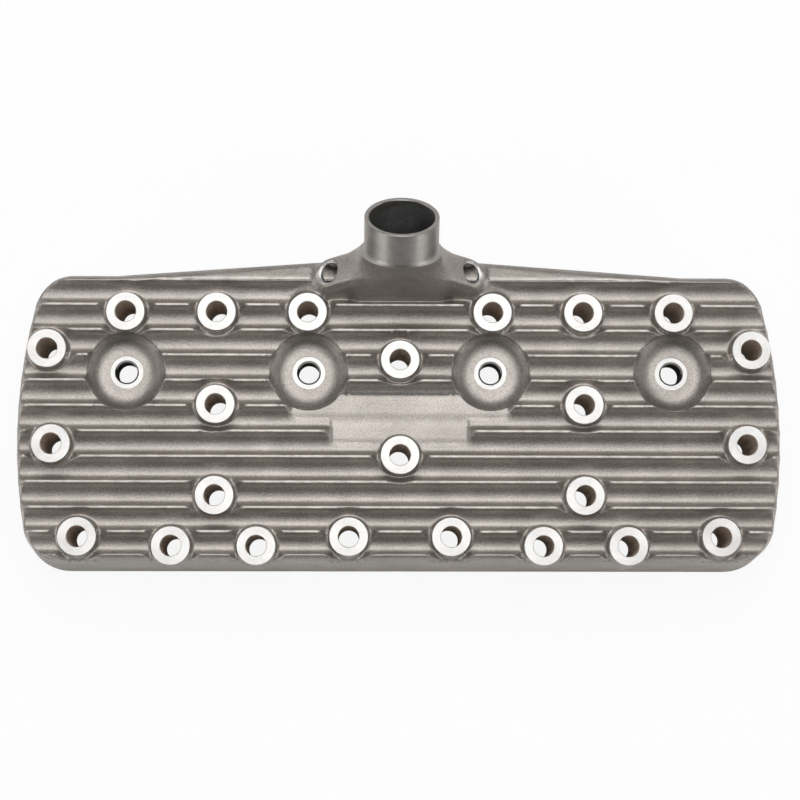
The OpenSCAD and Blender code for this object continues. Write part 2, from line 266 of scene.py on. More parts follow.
def mesh_object(name, verts_mm, faces, material, normals=None):
    """A piece of the casting. Where normals are given, its faces are turned to agree with them."""
    v, f = np.asarray(verts_mm), np.array(faces)
    if normals is not None:
        back = (area_vectors(v, f) * np.asarray(normals)[f].mean(1)).sum(1) < 0
        f[back] = f[back][:, ::-1]
    me = bpy.data.meshes.new(name)
    me.from_pydata((v * MM).tolist(), [], f.tolist())
    me.update()
    me.polygons.foreach_set("use_smooth", [True] * len(me.polygons))
    if normals is not None:
        me.normals_split_custom_set_from_vertices(np.asarray(normals).tolist())
    ob = bpy.data.objects.new(name, me)
    bpy.context.scene.collection.objects.link(ob)
    me.materials.append(material)
    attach(ob, BODY)
    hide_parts(NODE)
    return ob


# Rows of points for the top: along its edge, round bosses and wells, and across the ribs
TOP_EDGE = 3.86
EDGE_STEPS = [3.85, 4.0, 4.1, 4.2, 4.32, 4.45, 4.6, 4.75, 4.95, 5.2, 5.6, 6.2, 7.0, 8.0, 9.3]
BOSS_STEPS = [RING_R, 11.68, 11.85, 12.05, 12.3, 12.6, 13.0, 13.5, 14.1, 14.9, 15.8, 16.8, 18.0]
WELL_STEPS = [SEAT_R + 0.1, 10.6, 11.5, 13, 14.5, 16, 17.2, 18.3, 19.3, 20.2, 21, 21.7, 22.3, 22.9, 23.4,
              23.9, 24.4, 24.9, 25.5, 26.2, 27, 28]
CREST_STEPS = [0, 0.4, 0.65, 0.82, 0.9, 0.99, 1.12, 1.35, 1.7, 2.2, 2.9, 3.8, 4.9, 6.2]
SHELF_STEPS = [8, 10, 12, 14, 16]
FRONT_STEPS = [1.2, 1.5, 1.8, 2.4]


def circle(x, y, r, n):
    a = np.arange(n) * 2 * math.pi / n
    return np.stack([x + r * np.cos(a), y + r * np.sin(a)], 1)


def top_points():
    rings = [circle(x, y, r, 72) for x, y in STUDS for r in BOSS_STEPS]
    rings += [circle(x, y, r, 96) for x, y in PLUGS for r in WELL_STEPS]
    rings = np.vstack(rings)
    rings = rings[deck_distance(rings[:, 0], rings[:, 1]) > 3.9]
    edge = np.vstack([both_halves(outline(d)) for d in EDGE_STEPS])
    ys = [rib + s * u for rib in RIBS for u in CREST_STEPS for s in (-1, 1)]
    ys += [(a + b) / 2 for a, b in zip(RIBS[:-1], RIBS[1:])]
    ys += [RIBS[0] + v for v in SHELF_STEPS] + [RIBS[-1] - v for v in FRONT_STEPS]
    xs = np.arange(-234, 235, 2.0)
    ys = [y for y in sorted(set(round(v, 3) for v in ys)) if -93.2 < y < 95]
    rows = np.vstack([np.stack([xs, np.full_like(xs, y)], 1) for y in ys])
    rows = rows[deck_distance(rows[:, 0], rows[:, 1]) > 9.6]
    for centres, r in ((STUDS, 11.9), (PLUGS, 20.5)):
        for x, y in centres:
            rows = rows[np.hypot(rows[:, 0] - x, rows[:, 1] - y) > r]
    return rings, edge, rows


def build_top(material):
    rings, edge, rows = top_points()
    pts = np.vstack([rings, thin(edge, rings, 0.05), thin(rows, rings, 0.3)])
    _, first = np.unique(np.round(pts, 3), axis=0, return_index=True)
    pts = pts[np.sort(first)]
    out = geometry.delaunay_2d_cdt([Vector(p) for p in pts.tolist()], [], [], 0, 1e-5)
    v = np.array([[p[0], p[1]] for p in out[0]])
    f = np.array([t for t in out[2] if len(t) == 3])
    c = v[f].mean(1)
    keep = deck_distance(c[:, 0], c[:, 1]) > TOP_EDGE
    for sx, sy in STUDS:
        keep &= np.hypot(c[:, 0] - sx, c[:, 1] - sy) > RING_R - 0.02
    for px, py in PLUGS:
        keep &= np.hypot(c[:, 0] - px, c[:, 1] - py) > SEAT_R + 0.08
    v, f, _ = used_only(v, f[keep])
    z = top_height(v[:, 0], v[:, 1])
    n = surface_normals(top_height, v[:, 0], v[:, 1])
    return mesh_object("ribbed_top", np.column_stack([v, z]), f, material, n)


# Turned faces, holes and threads. Their ring coordinates carry the tool's marks
UV_SLANT, UV_TURN = 0.37, 3.0


def frame_from(axis):
    """Two directions square to an axis, and the axis itself, each of length one."""
    axis = np.asarray(axis, float) / np.linalg.norm(axis)
    side = np.array([1.0, 0, 0]) if abs(axis[0]) < 0.9 else np.array([0, 1.0, 0])
    side = side - axis * side.dot(axis)
    side /= np.linalg.norm(side)
    return side, np.cross(axis, side), axis


class Sheet:
    """Collects grids of points with their normals and ring coordinates, and makes one mesh of them."""

    def __init__(self):
        self.v, self.n, self.uv, self.f = [], [], [], []
        self.count = 0

    def grid(self, pts, nrm, uv):
        rows, cols = pts.shape[:2]
        idx = np.arange(rows * cols).reshape(rows, cols) + self.count
        q = np.stack([idx[:-1, :-1], idx[:-1, 1:], idx[1:, 1:], idx[1:, :-1]], -1).reshape(-1, 4)
        self.v.append(pts.reshape(-1, 3))
        self.n.append(nrm.reshape(-1, 3))
        self.uv.append(uv.reshape(-1, 2))
        self.f.append(q)
        self.count += rows * cols

    def revolve(self, profile, centre, axis=(0, 0, 1), n=96):
        """Turns (radius, height) points round an axis. Each segment is its own band, so edges stay crisp."""
        side, up, ax = frame_from(axis)
        a = np.linspace(0, 2 * math.pi, n + 1)
        radial = np.cos(a)[:, None] * side + np.sin(a)[:, None] * up
        for (r0, z0), (r1, z1) in zip(profile[:-1], profile[1:]):
            pts = np.stack([np.asarray(centre) + radial * r + ax * z for r, z in ((r0, z0), (r1, z1))])
            t = np.array([r1 - r0, z1 - z0]) / math.hypot(r1 - r0, z1 - z0)
            nr = radial * t[1] - ax * t[0]
            ring = [np.full(n + 1, r - z * UV_SLANT) for r, z in ((r0, z0), (r1, z1))]
            uv = np.stack([np.stack([u, a * UV_TURN], 1) for u in ring])
            self.grid(pts, np.stack([nr, nr]), uv)

    def thread(self, minor, major, pitch, length, centre, axis, n=56):
        """An internal thread that starts at centre and runs along axis from there."""
        side, up, ax = frame_from(axis)
        a = np.linspace(0, 2 * math.pi, n + 1)
        radial = np.cos(a)[:, None] * side + np.sin(a)[:, None] * up
        form = [(0.0, minor), (0.12, minor), (0.5, major), (0.62, major)]
        turns = int(length / pitch) + 1
        rows = [(k + u, r) for k in range(-1, turns) for u, r in form] + [(turns, minor)]
        u, r = (np.array(c)[:, None] for c in zip(*rows))
        z = np.clip((u + a[None, :] / (2 * math.pi)) * pitch, 0, length)
        r = r + 0 * z
        pts = np.asarray(centre) + radial[None] * r[..., None] + ax * z[..., None]
        dr = np.gradient(r, axis=0)
        dz = np.maximum(np.gradient(z, axis=0), 1e-4)
        nr = -radial[None] * dz[..., None] + ax * dr[..., None]
        nr /= np.linalg.norm(nr, axis=2, keepdims=True)
        self.grid(pts, nr, np.stack([z, np.broadcast_to(a * UV_TURN, z.shape)], -1))

    def make(self, name, material):
        v, n, uv, f = (np.vstack(p) for p in (self.v, self.n, self.uv, self.f))
        f = f[np.linalg.norm(area_vectors(v, f), axis=1) > 1e-9]
        ob = mesh_object(name, v, f, material, n)
        layer = ob.data.uv_layers.new(name="ring")
        loops = np.empty(len(ob.data.loops), int)
        ob.data.loops.foreach_get("vertex_index", loops)
        layer.data.foreach_set("uv", uv[loops].ravel())
        return ob


def build_turned(turned, bore, thread, dark):
    faces, bores, threads, ends = Sheet(), Sheet(), Sheet(), Sheet()
    boss_top = [(RING_R + 0.03, BOSS - 0.9), (RING_R, BOSS - 0.12), (RING_R - 0.15, BOSS),
                (STUD_R + 0.3, BOSS), (STUD_R, BOSS - 0.3)]
    for x, y in STUDS:
        faces.revolve(boss_top, (x, y, 0))
        bores.revolve([(STUD_R, BOSS - 0.3), (STUD_R, 0.0)], (x, y, 0))
    floor, mouth = SEAT_H + SINK, SEAT_H - 0.6
    seat = [(SEAT_R + 0.15, floor + 0.02), (SEAT_R, floor - 0.15), (SEAT_R, SEAT_H),
            (7.35, SEAT_H), (6.9, mouth)]
    for x, y in PLUGS:
        faces.revolve(seat, (x, y, 0))
        threads.thread(PLUG_MINOR, PLUG_MAJOR, PLUG_THREAD, PLUG_REACH, (x, y, mouth - PLUG_REACH), (0, 0, 1))
        bores.revolve([(7.0, 22.2), (8.85, 22.2), (8.85, 13.0)], (x, y, 0))
    face = [(PORT_FACE, -0.6), (PORT_FACE, 0.05), (PORT_FACE - 0.7, 0.12), (6.4, -0.9)]
    # painted shade: each port ends in a dark sleeve and cap beyond its thread
    end = [(6.6, -17.8), (PORT_MINOR, -17.9), (PORT_MINOR, -25.5), (0.05, -25.5)]
    for s in (-1, 1):
        at, ax = PORT_AT * [s, 1, 1], PORT_AXIS * [s, 1, 1]
        faces.revolve(face, at, ax)
        threads.thread(PORT_MINOR, PORT_MAJOR, PORT_PITCH, 17.0, at - ax * 17.9, ax)
        ends.revolve(end, at, ax, 48)
    faces.make("turned_faces", turned)
    bores.make("drilled_holes", bore)
    threads.make("cut_threads", thread)
    ends.make("port_shade_caps", dark)


# Fields of distances for the cast tower and its webs, negative inside
CUBE = [(i, j, k) for i in (0, 1) for j in (0, 1) for k in (0, 1)]


class Field:
    """Values on a regular grid of points that starts at lo."""

    def __init__(self, values, lo, step):
        self.values, self.lo, self.step = values, lo, step

    def at(self, p):
        q = (p - self.lo) / self.step
        i = np.clip(np.floor(q).astype(int), 0, np.array(self.values.shape) - 2)
        t = q - i
        out = 0
        for a, b, c in CUBE:
            w = (t[:, 0] if a else 1 - t[:, 0]) * (t[:, 1] if b else 1 - t[:, 1])
            w = w * (t[:, 2] if c else 1 - t[:, 2])
            out = out + w * self.values[i[:, 0] + a, i[:, 1] + b, i[:, 2] + c]
        return out

    def cell_vertices(self):
        """One vertex in each cell that the surface crosses, and each cell's vertex number."""
        f = self.values
        inside = f < 0
        nx, ny, nz = f.shape
        cells = [inside[i:nx - 1 + i, j:ny - 1 + j, k:nz - 1 + k] for i, j, k in CUBE]
        count = sum(c.astype(np.int8) for c in cells)
        cut = (count > 0) & (count < 8)
        ids = -np.ones(cut.shape, np.int64)
        ids[cut] = np.arange(cut.sum())
        ci = np.argwhere(cut)
        total, number = np.zeros((len(ci), 3)), np.zeros(len(ci))
        vals = [f[ci[:, 0] + i, ci[:, 1] + j, ci[:, 2] + k] for i, j, k in CUBE]
        edges = [(a, b) for a in range(8) for b in range(a + 1, 8)
                 if np.abs(np.subtract(CUBE[a], CUBE[b])).sum() == 1]
        for a, b in edges:
            va, vb = vals[a], vals[b]
            crossed = (va < 0) != (vb < 0)
            t = np.where(crossed, va / np.where(crossed, va - vb, 1), 0)
            p = np.array(CUBE[a]) + t[:, None] * np.subtract(CUBE[b], CUBE[a])
            total[crossed] += p[crossed]
            number[crossed] += 1
        return (ci + total / number[:, None]) * self.step + self.lo, ids

    def surface(self):
        """Vertices and quads of the zero level."""
        v, ids = self.cell_vertices()
        inside = self.values < 0
        quads = []
        for ax in range(3):
            here, there = [slice(1, -1)] * 3, [slice(1, -1)] * 3
            here[ax], there[ax] = slice(0, -1), slice(1, None)
            a, b = inside[tuple(here)], inside[tuple(there)]
            base = np.argwhere(a != b)
            base[:, [i for i in range(3) if i != ax]] += 1
            du, dw = np.zeros(3, int), np.zeros(3, int)
            du[(ax + 1) % 3], dw[(ax + 2) % 3] = 1, 1
            q = np.stack([ids[tuple((base - back).T)] for back in (du + dw, dw, 0 * du, du)], 1)
            out = ~a[a != b]
            q[out] = q[out][:, ::-1]
            quads.append(q)
        return v, np.vstack(quads)


def hull_planes(points):
    """Planes of the convex hull of some points, as (normal, offset) rows."""
    bm = bmesh.new()
    for p in points:
        bm.verts.new(p)
    res = bmesh.ops.convex_hull(bm, input=bm.verts, use_existing_faces=False)
    spare = {g for g in res["geom_interior"] + res["geom_unused"] if isinstance(g, bmesh.types.BMVert)}
    bmesh.ops.delete(bm, geom=list(spare), context="VERTS")
    bmesh.ops.recalc_face_normals(bm, faces=bm.faces)
    mid = np.mean([v.co for v in bm.verts], axis=0)
    planes = []
    for f in bm.faces:
        n = np.array(f.normal)
        d = n.dot(np.array(f.verts[0].co))
        if n.dot(mid) > d:
            n, d = -n, -d
        planes.append((n[0], n[1], n[2], d))
    bm.free()
    planes = np.array(planes)
    _, first = np.unique(np.round(planes, 3), axis=0, return_index=True)
    return planes[first]


def hull_field(points, X, Y, Z):
    f = np.full(X.shape, -1e9)
    for a, b, c, d in hull_planes(points):
        np.maximum(f, a * X + b * Y + c * Z - d, out=f)
    return f


def round_bar(p, a, b, r):
    """Distance to a cylinder with flat ends, from a to b."""
    a, b = np.asarray(a, float), np.asarray(b, float)
    ax = (b - a) / np.linalg.norm(b - a)
    t = (p - a) @ ax
    rad = np.linalg.norm((p - a) - t[..., None] * ax, axis=-1)
    return np.maximum(rad - r, np.maximum(-t, t - np.linalg.norm(b - a)))


def blur(f, sigma):
    n = int(sigma * 3) + 1
    k = np.exp(-0.5 * (np.arange(-n, n + 1) / sigma) ** 2)
    k /= k.sum()
    for ax in range(3):
        p = np.pad(f, [(n, n) if a == ax else (0, 0) for a in range(3)], mode="edge")
        f = sum(w * np.take(p, range(i, i + f.shape[ax]), axis=ax) for i, w in enumerate(k))
    return f


def disc(centre, axis, r, n=48):
    side, up, _ = frame_from(axis)
    a = np.arange(n) * 2 * math.pi / n
    return np.asarray(centre) + np.cos(a)[:, None] * side * r + np.sin(a)[:, None] * up * r


def box_points(lo, hi):
    return np.array([(x, y, z) for x in (lo[0], hi[0]) for y in (lo[1], hi[1]) for z in (lo[2], hi[2])])


def neck_at(t, w=0.0):
    """Point at t along the neck's axis from the rim, and w square to it, towards the back and down."""
    return RIM + AXIS * t + ACROSS * w


# The left half of the tower is worked out on this grid, and the right half mirrors it
GRID = 0.75
GRID_LO, GRID_HI = np.array([-74.25, 58.0, 44.0]), np.array([1.5, 110.0, 112.0])
LEFT_PORT, LEFT_PORT_AXIS = PORT_AT * [-1, 1, 1], PORT_AXIS * [-1, 1, 1]


def tower_points():
    """The tower's hull goes from the ribbed top to the neck's foot, whose front half is wider."""
    top = neck_at(-NECK_LEN - 0.5)
    ring = disc(top, AXIS, 1.0, 64) - top
    radius = np.where(ring @ ACROSS < 0.01, 24.0, 22.3)
    return np.vstack([top + ring * radius[:, None], box_points((-27, 66, 20), (27, 93.5, VALLEY))])


def web_points():
    """The web's hull goes from the sender port's boss to the tower."""
    rings = [disc(LEFT_PORT - LEFT_PORT_AXIS * t, LEFT_PORT_AXIS, PORT_FACE + 1.0) for t in (0, 5)]
    rings += [disc(neck_at(t, 4), AXIS, 17.2) for t in (-30.3, -29.3)]
    return np.vstack(rings + [box_points((-50.5, 68, 20), (0, 87, VALLEY - 1))])


def tower_fields():
    """The cast blank, and the same with the lathe's and the drill's cuts in it."""
    shape = np.ceil((GRID_HI - GRID_LO) / GRID).astype(int)
    X, Y, Z = np.meshgrid(*(GRID_LO[i] + np.arange(shape[i]) * GRID for i in range(3)), indexing="ij")
    P = np.stack([X, Y, Z], -1)
    x, y, plan = X[:, :, 0].ravel(), Y[:, :, 0].ravel(), (shape[0], shape[1], 1)
    above_top = Z - top_height(x, y).reshape(plan) + 0.06
    ground = np.maximum(above_top, Z * TAN - deck_distance(x, y).reshape(plan))
    saddle = round_bar(P, (-47, 76, 44), (-58, 64, 45), 8.0)
    f = smin(ground, saddle, 5.0)
    f = smin(f, hull_field(web_points(), X, Y, Z), 5.0)
    f = smin(f, hull_field(tower_points(), X, Y, Z), 7.0)
    blank = blur(f, 1.0)
    # the lathe leaves a hollow flare at the neck's foot
    along = (P - RIM) @ AXIS
    across = np.sqrt(np.maximum(((P - RIM) ** 2).sum(-1) - along**2, 0))
    u = np.clip((-NECK_LEN - along) / FLARE_L, 0, 1)
    turned_r = NECK_R + FLARE_W * (1 - np.sqrt(1 - u * u))
    cut = np.maximum(blank, np.minimum(across - turned_r + 0.12, along + NECK_LEN + FLARE_L))
    at, ax = LEFT_PORT, LEFT_PORT_AXIS
    cut = np.maximum(cut, -round_bar(P, at + ax * 0.02, at + ax * 12, PORT_FACE + 0.02))
    cut = np.maximum(cut, -round_bar(P, at - ax * 22, at + ax * 4, 6.75))
    cut = np.maximum(cut, -round_bar(P, neck_at(-21), neck_at(8), 20.2))
    return Field(blank, GRID_LO, GRID), Field(cut, GRID_LO, GRID)


def build_tower(material, cut):
    v, q = cut.surface()
    n = np.stack([cut.at(v + e) - cut.at(v - e) for e in np.eye(3) * 0.6], 1)
    n /= np.maximum(np.linalg.norm(n, axis=1, keepdims=True), 1e-9)
    # only what stands above the ribbed top or outside the walls is kept, without the insides of holes
    over = v[:, 2] - top_height(v[:, 0], v[:, 1])
    show = (over > -0.05) | (deck_distance(v[:, 0], v[:, 1]) < v[:, 2] * TAN - 0.02)
    at, ax = LEFT_PORT, LEFT_PORT_AXIS
    inner = round_bar(v, neck_at(-21.3), neck_at(8), 20.4) < 0
    inner |= round_bar(v, at - ax * 22, at + ax * 4, 6.85) < 0
    for sx, sy in STUDS:
        inner |= np.hypot(v[:, 0] - sx, v[:, 1] - sy) < RING_R
    q = q[show[q].any(1) & ~inner[q].any(1) & (v[q][:, :, 0].max(1) < 0.4)]
    v, q, used = used_only(v, q)
    n = n[used]
    v[:, 0] = np.where(v[:, 0] > -0.1, 0, v[:, 0])
    mirror = [-1, 1, 1]
    mesh_object("neck_tower", np.vstack([v, v * mirror]), np.vstack([q, q + len(v)]), material,
                np.vstack([n, n * mirror]))


def flare_ends(radial, blank):
    """Angle along the flare's hollow at which it leaves the cast blank, for each direction."""
    angles = np.linspace(0, math.pi / 2, 61)
    grow = NECK_R + FLARE_W * (1 - np.cos(angles))
    ends = []
    for row in radial:
        p = RIM + row * grow[:, None] + AXIS * (-NECK_LEN - FLARE_L * np.sin(angles))[:, None]
        p[:, 0] = -np.abs(p[:, 0])
        outside = blank.at(p)[8:] > 0
        ends.append(angles[np.argmax(outside) + 8 if outside.any() else 60])
    k = np.exp(-0.5 * (np.arange(-6, 7) / 2.5) ** 2)
    return np.convolve(np.pad(ends, 6, mode="edge"), k / k.sum(), "valid")


def build_neck(material, blank):
    neck = Sheet()
    neck.revolve([(NECK_R, -NECK_LEN), (NECK_R, -0.25), (NECK_R - 0.25, 0), (NECK_BORE + 0.3, 0),
                  (NECK_BORE, -0.5)], RIM, AXIS, 160)
    # the flare, with a last row that goes under the cast skin
    a = np.linspace(0, math.pi, 91)
    radial = -np.sin(a)[:, None] * SIDEWAYS - np.cos(a)[:, None] * ACROSS
    ends = flare_ends(radial, blank)
    rows, normals, uvs = [], [], []
    for t in np.linspace(0, 1, 13):
        angle = ends * t
        r, z = NECK_R + FLARE_W * (1 - np.cos(angle)), -NECK_LEN - FLARE_L * np.sin(angle)
        rows.append(RIM + radial * r[:, None] + AXIS * z[:, None])
        n = radial * (FLARE_L * np.cos(angle))[:, None] + AXIS * (FLARE_W * np.sin(angle))[:, None]
        normals.append(n / np.linalg.norm(n, axis=1, keepdims=True))
        uvs.append(np.stack([r - z * UV_SLANT, a * UV_TURN], 1))
    far = np.clip((a - 1.6) / 0.25, 0, 1)
    rows.append(RIM + radial * (r - 1.2 + 1.1 * far)[:, None] + AXIS * (z - 1.0 - 1.5 * far)[:, None])
    rows, normals, uvs = np.array(rows), np.array(normals + normals[-1:]), np.array(uvs + uvs[-1:])
    for s in (1, -1):
        neck.grid(rows * [s, 1, 1], normals * [s, 1, 1], uvs)
    # a short machined band inside the lip is deeper where the cored bore lies off centre
    a = np.linspace(0, 2 * math.pi, 97)
    radial = -np.cos(a)[:, None] * SIDEWAYS + np.sin(a)[:, None] * ACROSS
    depth = 1.3 + 6.5 * np.clip(np.cos(a - 0.35), 0, 1) ** 1.5 + 1.2 * np.clip(-np.cos(a), 0, 1)
    lip = RIM + radial * (NECK_BORE - 0.05)
    rows = np.array([lip + AXIS * (-0.5 - depth * t)[:, None] for t in (0, 0.5, 1.0)])
    uv = np.stack([rows[:, :, 1] * 0.5, np.broadcast_to(a * UV_TURN, rows.shape[:2])], -1)
    neck.grid(rows, np.broadcast_to(-radial, rows.shape), uv)
    neck.make("hose_neck", material)


def build_neck_inside(material):
    """Rough bore of the neck, which bends down into the head and flattens."""
    keys = [(neck_at(-0.5), LEAN, 19.5, 19.5),
            (neck_at(-10), LEAN, 19.5, 19.5),
            (neck_at(-19), LEAN, 19.4, 19.4),
            (neck_at(-26, 1.5), math.radians(46), 18.2, 15.8),
            (np.array([0, 84.3, 78.5]), math.radians(30), 17.4, 12.6),
            (np.array([0, 81.2, 64.0]), math.radians(12), 16.2, 9.0),
            (np.array([0, 79.9, 52.0]), math.radians(2), 15.3, 7.6),
            (np.array([0, 79.5, 41.0]), 0.0, 15.0, 7.0)]
    a = np.linspace(0, 2 * math.pi, 97)
    rows = []
    for t in np.linspace(0, len(keys) - 1, 60):
        i = min(int(t), len(keys) - 2)
        u = t - i
        u = u * u * (3 - 2 * u) if i >= 2 else u
        c, lean, rx, ry = (p * (1 - u) + q * u for p, q in zip(keys[i], keys[i + 1]))
        w = np.array([0.0, math.cos(lean), -math.sin(lean)])
        rows.append(c + np.cos(a)[:, None] * SIDEWAYS * rx + np.sin(a)[:, None] * w * ry)
    pts = np.array(rows)
    inward = pts.mean(1, keepdims=True) - pts
    inward /= np.linalg.norm(inward, axis=2, keepdims=True)
    tube = Sheet()
    tube.grid(pts, inward, np.zeros(pts.shape[:2] + (2,)))
    tube.make("neck_inside", material)


# Drafted side walls, and the bosses that stand out of them
WALL_LEVELS = [(z, z * TAN) for z in (44.0, 36.0, 26.0, 14.0, 5.0, 0.8)] + [(0.25, 0.2), (0.0, 0.6)]


def build_walls(material):
    rings = []
    for z, d0 in WALL_LEVELS:
        right = outline(d0)
        loop = np.vstack([right, right[::-1][1:-1] * [-1, 1], right[:1]])
        rings.append(np.column_stack([loop, np.full(len(loop), z)]))
    v = np.array(rings)
    rows, cols = v.shape[:2]
    v = v.reshape(-1, 3)
    x, y, e = v[:, 0], v[:, 1], 0.3
    gx = deck_distance(x + e, y) - deck_distance(x - e, y)
    gy = deck_distance(x, y + e) - deck_distance(x, y - e)
    n = np.stack([-gx, -gy, np.zeros_like(gx)], 1)
    n /= np.maximum(np.linalg.norm(n, axis=1, keepdims=True), 1e-9)
    n[:, 2] = np.where(v[:, 2] < 0.3, -0.7, TAN)
    n /= np.linalg.norm(n, axis=1, keepdims=True)
    idx = np.arange(rows * cols).reshape(rows, cols)
    q = np.stack([idx[:-1, :-1], idx[1:, :-1], idx[1:, 1:], idx[:-1, 1:]], -1).reshape(-1, 4)
    mesh_object("side_walls", v, q, material, n)


def boss_ring(x, y, out, z):
    """Points on a boss's drafted side, in the directions out and at the heights z."""
    return np.array([x, y]) + out * (RING_R + (BOSS - z) * BOSS_DRAFT)[:, None]


def build_boss_sides(material):
    sides = Sheet()
    for x, y in STUDS:
        a = math.atan2(-y, -x) + np.linspace(0, 2 * math.pi, 97)
        out = np.stack([np.cos(a), np.sin(a)], 1)
        foot = np.full(97, BOSS)
        for _ in range(8):
            ring = boss_ring(x, y, out, foot)
            foot = np.clip(deck_distance(ring[:, 0], ring[:, 1]) / TAN, 0, BOSS)
        proud = np.flatnonzero(foot < BOSS - 1.5)
        if len(proud) < 2:
            continue
        out, foot = out[proud], np.maximum(foot[proud] - 1.0, 0.5)
        levels = (np.full(len(proud), BOSS - 0.85), foot)
        rows = np.array([np.column_stack([boss_ring(x, y, out, z), z]) for z in levels])
        n = np.column_stack([out, np.full(len(out), BOSS_DRAFT)])
        sides.grid(rows, np.broadcast_to(n, rows.shape), rows[:, :, :2])
    sides.make("boss_sides", material)


# Underside, chambers and water jacket, from a copy of the CAD mesh
def build_inside(cast, milled):
    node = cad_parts[NODE]
    co = np.empty(len(node.data.vertices) * 3)
    node.data.vertices.foreach_get("co", co)
    M = np.array(node.matrix_world)
    co = (co.reshape(-1, 3) @ M[:3, :3].T + M[:3, 3]) / MM
    tri = np.array([p.vertices[:] for p in node.data.polygons if len(p.vertices) == 3])
    p = co[tri]
    x, y, z = p[:, :, 0], p[:, :, 1], p[:, :, 2]
    n = area_vectors(co, tri)
    n /= np.maximum(np.linalg.norm(n, axis=1, keepdims=True), 1e-12)
    level = np.abs(n[:, 2]) > 0.9
    # what the scene shows in its own pieces goes: the top, the walls, the stud holes and the wells
    wall = deck_distance(x.ravel(), y.ravel()).reshape(-1, 3) - z * TAN
    keep = (z.max(1) < 42.4) & ~(np.abs(wall).max(1) < 0.6)
    for sx, sy in STUDS:
        r = np.hypot(x - sx, y - sy).max(1)
        keep &= ~(np.abs(r - STUD_R) < 0.12) | level
    for px, py in PLUGS:
        r = np.hypot(x - px, y - py).max(1)
        keep &= ~((r < 9.2) & ~level)
        keep &= ~((r < 25) & (z.mean(1) > 33) & (n[:, 2] > 0.1))
    deck = keep & (np.abs(z).max(1) < 0.02)
    for name, mask, material in (("gasket_face", deck, milled), ("cast_inside", keep & ~deck, cast)):
        v, f, _ = used_only(co, tri[mask])
        ob = mesh_object(name, v, f, material)
        bm = bmesh.new()
        bm.from_mesh(ob.data)
        bmesh.ops.remove_doubles(bm, verts=bm.verts, dist=1e-6)
        bm.to_mesh(ob.data)
        bm.free()
        ob.data.polygons.foreach_set("use_smooth", [True] * len(ob.data.polygons))
        ob.data.set_sharp_from_angle(angle=math.radians(30))


# Materials
def principled(name):
    m = bpy.data.materials.new(name)
    m.use_nodes = True
    return m, m.node_tree, m.node_tree.nodes["Principled BSDF"]


def ramp(nt, value, stops):
    n = nt.nodes.new("ShaderNodeValToRGB")
    els = n.color_ramp.elements
    while len(els) < len(stops):
        els.new(0.5)
    for e, (pos, col) in zip(els, stops):
        e.position = pos
        e.color = (*col, 1)
    nt.links.new(value, n.inputs["Fac"])
    return n.outputs["Color"]


def noise(nt, coord, scale, detail=3.0, rough=0.55):
    n = nt.nodes.new("ShaderNodeTexNoise")
    n.inputs["Scale"].default_value = scale
    n.inputs["Detail"].default_value = detail
    n.inputs["Roughness"].default_value = rough
    nt.links.new(coord, n.inputs["Vector"])
    return n.outputs["Fac"]


def map_range(nt, value, to_min, to_max, from_min=0.0, from_max=1.0):
    n = nt.nodes.new("ShaderNodeMapRange")
    limits = (("From Min", from_min), ("From Max", from_max), ("To Min", to_min), ("To Max", to_max))
    for k, v in limits:
        n.inputs[k].default_value = v
    nt.links.new(value, n.inputs["Value"])
    return n.outputs["Result"]


def separate(nt, vector):
    n = nt.nodes.new("ShaderNodeSeparateXYZ")
    nt.links.new(vector, n.inputs["Vector"])
    return n.outputs["X"], n.outputs["Y"], n.outputs["Z"]


def mix_colour(nt, fac, a, b, blend="MIX"):
    n = nt.nodes.new("ShaderNodeMix")
    n.data_type = "RGBA"
    n.blend_type = blend
    kinds = {"Factor": "VALUE", "A": "RGBA", "B": "RGBA"}
    for s, v in (("Factor", fac), ("A", a), ("B", b)):
        sock = next(i for i in n.inputs if i.name == s and i.type == kinds[s])
        if hasattr(v, "links"):
            nt.links.new(v, sock)
        else:
            sock.default_value = v if s == "Factor" else (*v, 1)
    return next(o for o in n.outputs if o.type == "RGBA")


def bump(nt, height, strength, distance, normal=None):
    n = nt.nodes.new("ShaderNodeBump")
    n.inputs["Strength"].default_value = strength
    n.inputs["Distance"].default_value = distance
    nt.links.new(height, n.inputs["Height"])
    if normal is not None:
        nt.links.new(normal, n.inputs["Normal"])
    return n.outputs["Normal"]


def maths(nt, kind, a, b=None):
    n = nt.nodes.new("ShaderNodeMath")
    n.operation = kind
    for i, v in enumerate((a, b)):
        if hasattr(v, "links"):
            nt.links.new(v, n.inputs[i])
        elif v is not None:
            n.inputs[i].default_value = v
    return n.outputs["Value"]


